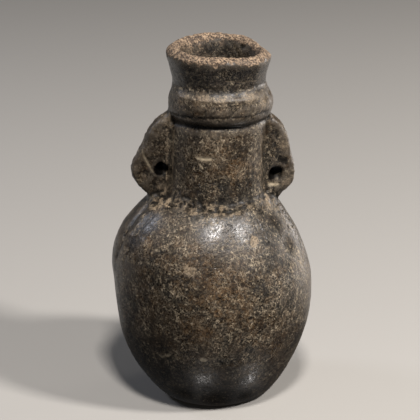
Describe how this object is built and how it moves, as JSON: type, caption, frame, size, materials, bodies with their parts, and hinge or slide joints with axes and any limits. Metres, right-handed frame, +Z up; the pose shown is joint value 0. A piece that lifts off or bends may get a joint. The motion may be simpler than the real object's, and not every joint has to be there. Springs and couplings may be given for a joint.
{
  "type": "perfume vase",
  "caption": "Small dark burnished earthenware bottle with an egg-shaped belly, a collared neck, a flaring mouth and pierced lugs on the neck.",
  "frame": {"origin": "centre of the flat foot, on the surface that the vase stands on", "axes": "+Z up through the mouth, X through the two lugs with the larger lug at -X, and the front that the picture shows at -Y"},
  "size_m": [0.0842, 0.0834, 0.1517],
  "materials": {
    "burnished_clay": "dark low-fired earthenware, burnished to a satin sheen and worn to bare gritty buff clay on the lip"
  },
  "bodies": {
    "root": {"vase": "burnished_clay"}
  },
  "joints": []
}
